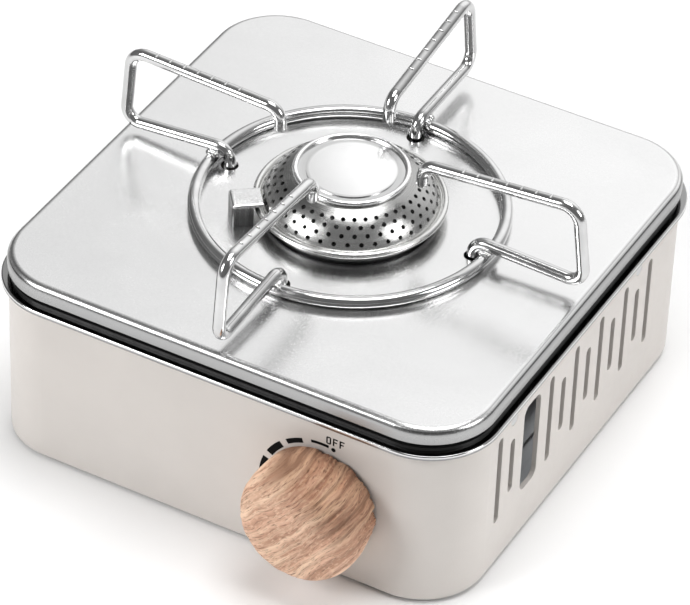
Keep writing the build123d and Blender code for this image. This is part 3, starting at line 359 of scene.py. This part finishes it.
# ---- Materials, one for each slot of the record -------------------------------------------------
slot_materials = {
    "shell_paint": painted("warm_grey_paint", (0.66, 0.62, 0.585), 0.40),
    # The frame is near-black as painted shade, standing in for the dark gap under the deck's edge.
    "frame_black": painted("gap_shade_black", (0.012, 0.012, 0.012), 0.5),
    "rim_polished": rolled_rim("polished_rim", (0.80, 0.80, 0.80), 0.10),
    "deck_steel": satin_deck("deck_steel", (0.80, 0.80, 0.80), 0.22),
    "burner_steel": spun("spun_steel", (0.72, 0.72, 0.71), 0.24, DECK_MID, CONE_PAINTED_SHADE),
    "cap_steel": spun("polished_cap", (0.93, 0.93, 0.93), 0.20, DECK_MID, CAP_PAINTED_LIGHT),
    "burner_iron": cast("burner_iron", (0.20, 0.20, 0.20), 0.36, 1.0, depth=0.01 * MM),
    "trivet_wire": bright_wire("trivet_wire", (0.66, 0.66, 0.66), 0.12),
    "cover_steel": folded_cover("cover_steel", (0.80, 0.80, 0.80), 0.2),
    "knob_wood": knob_wood("knob_wood"),
    "plated_sheet": brushed("plated_sheet", (0.55, 0.56, 0.57), 0.35, along=(0, 1, 0)),
    "screw_steel": polished("screw_steel", (0.60, 0.60, 0.60), 0.3),
    "foot_rubber": plastic("foot_rubber", (0.02, 0.02, 0.02), 0.75, 0.04 * MM),
    "seal_rubber": plastic("seal_rubber", (0.015, 0.015, 0.015), 0.6),
    "regulator_alloy": cast("regulator_alloy", (0.52, 0.52, 0.53), 0.42, 1.0),
    "valve_brass": polished("valve_brass", (0.72, 0.52, 0.24), 0.25),
    "gas_copper": polished("gas_copper", (0.74, 0.42, 0.28), 0.28),
    "ceramic_white": plastic("ceramic_white", (0.82, 0.81, 0.77), 0.22),
    "piezo_plastic": plastic("piezo_plastic", (0.03, 0.03, 0.035), 0.5),
    "lead_sleeve": plastic("lead_sleeve", (0.5, 0.04, 0.03), 0.45),
    "magnet_dark": cast("magnet_dark", (0.07, 0.07, 0.075), 0.5, 0.4),
}
for part in frame["record"]["subparts"]:
    node = NODES[part["node"]]
    node.data.materials.clear()
    node.data.materials.append(slot_materials[part["material_slot"]])


def new_piece(name, mesh, material):
    """An object in the scene made from a bmesh, which is used up."""
    data = bpy.data.meshes.new(name)
    mesh.to_mesh(data)
    mesh.free()
    piece = bpy.data.objects.new(name, data)
    bpy.context.scene.collection.objects.link(piece)
    piece.data.materials.append(material)
    return piece


def smooth_all(mesh):
    for face in mesh.faces:
        face.smooth = True


# ---- Wooden knob with its grain standing in relief ----------------------------------------------
KNOB_AROUND = 420  # points round each ring
KNOB_ALONG = 110  # steps from the back edge to the face
KNOB_FACE_RINGS = 46  # steps from the edge of the face to its middle
RELIEF = 1.1 * MM  # depth of the deepest furrow
FACE_RELIEF = 0.22  # share of the relief that is left away from the shaded side
SHADE_REACH = 18 * MM  # how far towards the shaded side the relief is at its full depth
SWAY = 1.6 * MM  # how far the grain wanders
SWAY_SCALE = 70
FURROW_SCALE = (22, 24, 330)  # broad furrows
LINE_SCALE = (60, 60, 1050)  # fine lines among them
FURROW_SHARE = 0.68
WORN_FROM = 0.42  # noise below this leaves the wood whole
WORN_SPAN = 0.45
BORE_CLEAR = 12.0 * MM  # vertices nearer the axis than this belong to the hole for the insert


def knob_outline():
    """The CAD knob's outline from back edge to face: distance in front of the back, and radius."""
    node = NODES["wood_knob"]
    low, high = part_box("wood_knob")
    middle = (low + high) / 2
    found = {}
    for vertex in node.data.vertices:
        place = node.matrix_world @ vertex.co
        front, radius = high.y - place.y, math.hypot(place.x - middle.x, place.z - middle.z)
        key = round(front / MM, 1)
        if radius > found.get(key, (0, BORE_CLEAR))[1]:
            found[key] = (front, radius)
    return [found[key] for key in sorted(found)]


def evenly(points, count):
    """Points spaced evenly along an outline."""
    steps = [math.dist(a, b) for a, b in zip(points, points[1:])]
    total = sum(steps)
    made = [Vector(points[0])]
    for i in range(1, count + 1):
        left, k = total * i / count, 0
        while k < len(steps) - 1 and left > steps[k]:
            left -= steps[k]
            k += 1
        made.append(Vector(points[k]).lerp(Vector(points[k + 1]), min(1.0, left / steps[k])))
    return made


def carved_depth(point, turn):
    """How deep the soft wood has worn at a point, from 0 to 1; the furrows run with the grain."""
    across = turn @ point
    across.z += noise.noise(point * SWAY_SCALE) * SWAY
    furrow, line = (
        0.5 + noise.noise(Vector([c * size for c, size in zip(across, scale)]))
        for scale in (FURROW_SCALE, LINE_SCALE))
    worn = FURROW_SHARE * furrow + (1 - FURROW_SHARE) * line
    return min(1.0, max(0.0, (worn - WORN_FROM) / WORN_SPAN))


def carved_knob():
    """Stands in for the CAD knob: the same outline, turned, with the grain cut into it."""
    low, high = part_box("wood_knob")
    middle = (low + high) / 2
    outline = knob_outline()
    curve = evenly(outline, KNOB_ALONG)
    face_y, face_r = outline[-1]
    curve += [Vector((face_y, face_r * (1 - k / KNOB_FACE_RINGS))) for k in range(1, KNOB_FACE_RINGS)]
    turn = Matrix.Rotation(math.radians(GRAIN_TURN[1]), 3, "Y")
    toward_shade = Vector(SHADE_TOWARD).normalized()
    mesh = bmesh.new()
    rings = []
    for index, (front, radius) in enumerate(curve):
        before, after = curve[max(index - 1, 0)], curve[min(index + 1, len(curve) - 1)]
        slope = (after - before).normalized()
        ring = []
        for k in range(KNOB_AROUND):
            a = k * math.tau / KNOB_AROUND
            spoke = Vector((math.cos(a), 0, math.sin(a)))
            local = spoke * radius + Vector((0, high.y - front - middle.y, 0))
            normal = (spoke * slope.x + Vector((0, slope.y, 0))).normalized()
            upper = min(1.0, max(0.0, local.dot(toward_shade) / SHADE_REACH))
            depth = RELIEF * carved_depth(local, turn) * (FACE_RELIEF + (1 - FACE_RELIEF) * upper)
            ring.append(mesh.verts.new(middle + local - normal * depth))
        rings.append(ring)
    for first, second in zip(rings, rings[1:]):
        for k in range(KNOB_AROUND):
            beside = (k + 1) % KNOB_AROUND
            mesh.faces.new((first[k], first[beside], second[beside], second[k]))
    mesh.faces.new(rings[-1])
    mesh.faces.new(rings[0])
    bmesh.ops.recalc_face_normals(mesh, faces=mesh.faces)
    smooth_all(mesh)
    piece = new_piece("knob_wood_carved", mesh, slot_materials["knob_wood"])
    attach(piece, "knob")
    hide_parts("wood_knob")


carved_knob()


# ---- Printed dial on the front face -------------------------------------------------------------
PRINT_T = 0.04 * MM
DIAL = Vector((47.2 * MM, 0, 37.1 * MM))
DIAL_R = 27.0 * MM
# Each arc: start and end angle in degrees from the right, and width in mm; they grow with the flame.
ARCS = ((84, 100.5, 1.3), (109, 126, 2.2), (133, 152, 2.9), (159, 178, 3.4))
ARC_STEPS = 14
OFF_MARK = 79.4  # degrees
OFF_MARK_R = 0.95 * MM
OFF_MARK_SIDES = 24
LETTER_H = 3.6 * MM
LETTER_W = 2.1 * MM
LETTER_GAP = 0.75 * MM
MIDDLE_BAR = 0.85  # share of a letter's width
STROKE = 0.62 * MM
WORD_MID = Vector((52.7 * MM, 0, 66.5 * MM))


def printed(outlines, name):
    """One thin printed piece on the front face, from closed outlines of (x, z) points."""
    mesh = bmesh.new()
    for outline in outlines:
        face = mesh.faces.new([mesh.verts.new((x, FACE_Y, z)) for x, z in outline])
        raised = bmesh.ops.extrude_face_region(mesh, geom=[face])
        moved = [g for g in raised["geom"] if isinstance(g, bmesh.types.BMVert)]
        bmesh.ops.translate(mesh, verts=moved, vec=(0, -PRINT_T, 0))
    bmesh.ops.recalc_face_normals(mesh, faces=mesh.faces)
    piece = new_piece(name, mesh, ink)
    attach(piece, "stove")


def on_circle(middle, radius, angles):
    return [(middle[0] + radius * math.cos(a), middle[1] + radius * math.sin(a)) for a in angles]


def arc_outline(start, end, width):
    angles = [math.radians(start + (end - start) * i / ARC_STEPS) for i in range(ARC_STEPS + 1)]
    middle = (DIAL.x, DIAL.z)
    return on_circle(middle, DIAL_R, angles) + on_circle(middle, DIAL_R - width, reversed(angles))


def dot_outline():
    middle = on_circle((DIAL.x, DIAL.z), DIAL_R - OFF_MARK_R, [math.radians(OFF_MARK)])[0]
    return on_circle(middle, OFF_MARK_R, [k * math.tau / OFF_MARK_SIDES for k in range(OFF_MARK_SIDES)])


def bar(x0, x1, z0, z1):
    return [(x0, z0), (x1, z0), (x1, z1), (x0, z1)]


def word_outlines():
    """The three block letters of the generic off mark, as bars."""
    left = WORD_MID.x - 1.5 * LETTER_W - LETTER_GAP
    low, high = WORD_MID.z - LETTER_H / 2, WORD_MID.z + LETTER_H / 2
    bars = [
        bar(left, left + STROKE, low + STROKE / 2, high - STROKE / 2),
        bar(left + LETTER_W - STROKE, left + LETTER_W, low + STROKE / 2, high - STROKE / 2),
        bar(left + STROKE / 2, left + LETTER_W - STROKE / 2, low, low + STROKE),
        bar(left + STROKE / 2, left + LETTER_W - STROKE / 2, high - STROKE, high),
    ]
    for place in (1, 2):
        start = left + place * (LETTER_W + LETTER_GAP)
        middle = WORD_MID.z + STROKE / 2
        bars += [
            bar(start, start + STROKE, low, high),
            bar(start, start + LETTER_W, high - STROKE, high),
            bar(start, start + LETTER_W * MIDDLE_BAR, middle - STROKE, middle),
        ]
    return bars


ink = plastic("printing_ink", (0.002, 0.002, 0.002), 0.8, 0.004 * MM)
ink.node_tree.nodes["Principled BSDF"].inputs["Specular IOR Level"].default_value = 0.15
for number, (start, end, width) in enumerate(ARCS, 1):
    printed([arc_outline(start, end, width * MM)], f"dial_arc_{number}")
printed([dot_outline()], "dial_off_dot")
printed(word_outlines(), "dial_off_word")


# ---- Weld beads where the wire arms cross the ring ----------------------------------------------
WELD_R = 61.4 * MM
WELD_Z = 92.2 * MM
WELD_LUMPS = 5
WELD_LENGTH = 3.6 * MM
WELD_ASIDE = 2.3 * MM  # from the arm's middle
WELD_SIZE = 2.1 * MM
WELD_SIZE_SHARE = (0.55, 0.8)
WELD_LIFT = (-0.5, 0.4)  # mm
WELD_ROUGH = 0.03 * MM
WELD_SEED = 7
# Where each arm crosses the ring, in degrees.
ARM_ANGLES = {"right": -0.6, "back": 90.7, "left": 180.0, "front": 270.2}


def weld_bead(name, angle, rng):
    """A few lumps of melted wire, run together, on both sides of one crossing."""
    crossing = Vector((DECK_MID.x, DECK_MID.y, WELD_Z))
    mesh = bmesh.new()
    out = Vector((math.cos(angle), math.sin(angle), 0))
    along = Vector((-out.y, out.x, 0))
    for side in (-1, 1):
        for lump in range(WELD_LUMPS):
            slide = (lump / (WELD_LUMPS - 1) - 0.5) * WELD_LENGTH
            place = crossing + out * (WELD_R + slide) + along * side * WELD_ASIDE
            size = WELD_SIZE * rng.uniform(*WELD_SIZE_SHARE)
            place.z += rng.uniform(*WELD_LIFT) * MM
            shape = Matrix.Translation(place)
            bmesh.ops.create_icosphere(mesh, subdivisions=3, radius=size, matrix=shape)
    for vertex in mesh.verts:
        vertex.co += Vector([rng.uniform(-1, 1) for _ in range(3)]) * WELD_ROUGH
    smooth_all(mesh)
    piece = new_piece(name, mesh, slot_materials["trivet_wire"])
    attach(piece, "trivet")


weld_rng = random.Random(WELD_SEED)
for side, angle in ARM_ANGLES.items():
    weld_bead("weld_" + side, math.radians(angle), weld_rng)


# ---- Camera, light and floor --------------------------------------------------------------------
# The bright part of the studio: where it is, and how bright it gets towards it (1 is straight at it).
BRIGHT_TOWARD = (0.0, 0.86, 0.51)
STUDIO_TONES = ((0.0, 0.18), (0.45, 0.17), (0.72, 0.36), (0.86, 0.84), (0.945, 1.32), (1.0, 1.42))
# The camera's angles are in degrees; SENSOR and LENS are in mm.
CAMERA_TURN = 27.769
CAMERA_RISE = 38.893
CAMERA_ROLL = 2.339
CAMERA_PLACE = Vector((0.63546, -1.20803, 1.14107)) + Vector((0, DECK_MID.y, 0))
SENSOR = 36.0
LENS = 229.27
FLOOR_WIDTH = 12
FLOOR_TONES = ((0.3, (0.895, 0.895, 0.895)), (0.7, (0.91, 0.91, 0.91)))
PANEL_TARGET = Vector((0, 0, 0.05))
# Each panel: its name, place, width and height, and power in watts.
PANELS = (
    ("key", (-0.9, -1.2, 1.0), (0.7, 0.7), 16.5),
    ("overhead", (0.15, 0.05, 1.6), (0.9, 0.9), 15),
    ("right", (1.3, 0.1, 0.8), (0.5, 0.6), 7),
)


def add_camera():
    data = bpy.data.cameras.new("camera")
    data.sensor_width = SENSOR
    data.lens = LENS
    camera = bpy.data.objects.new("camera", data)
    turned = Matrix.Rotation(math.radians(CAMERA_TURN), 4, "Z")
    tipped = Matrix.Rotation(math.radians(90 - CAMERA_RISE), 4, "X")
    rolled = Matrix.Rotation(math.radians(CAMERA_ROLL), 4, "Z")
    camera.matrix_world = Matrix.Translation(CAMERA_PLACE) @ turned @ tipped @ rolled
    bpy.context.scene.collection.objects.link(camera)
    bpy.context.scene.camera = camera


def add_panel(name, place, size, power):
    """A large soft light that faces the stove."""
    data = bpy.data.lights.new(name, "AREA")
    data.shape = "RECTANGLE"
    data.size, data.size_y = size
    data.energy = power
    lamp = bpy.data.objects.new(name, data)
    lamp.location = place
    lamp.rotation_euler = (PANEL_TARGET - Vector(place)).to_track_quat("-Z", "Y").to_euler()
    bpy.context.scene.collection.objects.link(lamp)


def add_floor():
    bpy.ops.mesh.primitive_plane_add(size=FLOOR_WIDTH, location=(0, 0, 0))
    floor = bpy.context.object
    floor.name = "floor"
    s = Surface("pale_floor", (0.90, 0.90, 0.90), 0.6)
    s.color(s.ramp(s.noise(9, 3), *FLOOR_TONES))
    floor.data.materials.append(s.material)


def add_world():
    """A studio that is dim all round but bright behind and above, where the deck mirrors it."""
    world = bpy.data.worlds.new("studio")
    bpy.context.scene.world = world
    world.use_nodes = True
    tree = world.node_tree
    background = tree.nodes["Background"]
    background.inputs["Strength"].default_value = 1.0
    place = tree.nodes.new("ShaderNodeTexCoord")
    aim = tree.nodes.new("ShaderNodeVectorMath")
    aim.operation = "DOT_PRODUCT"
    aim.inputs[1].default_value = Vector(BRIGHT_TOWARD).normalized()
    ramp = tree.nodes.new("ShaderNodeValToRGB")
    tree.links.new(place.outputs["Generated"], aim.inputs[0])
    tree.links.new(aim.outputs["Value"], ramp.inputs[0])
    tree.links.new(ramp.outputs[0], background.inputs["Color"])
    fill_ramp(ramp, greys(STUDIO_TONES))


add_camera()
add_world()
add_floor()
for panel in PANELS:
    add_panel(*panel)
bpy.context.scene.view_settings.view_transform = "Standard"
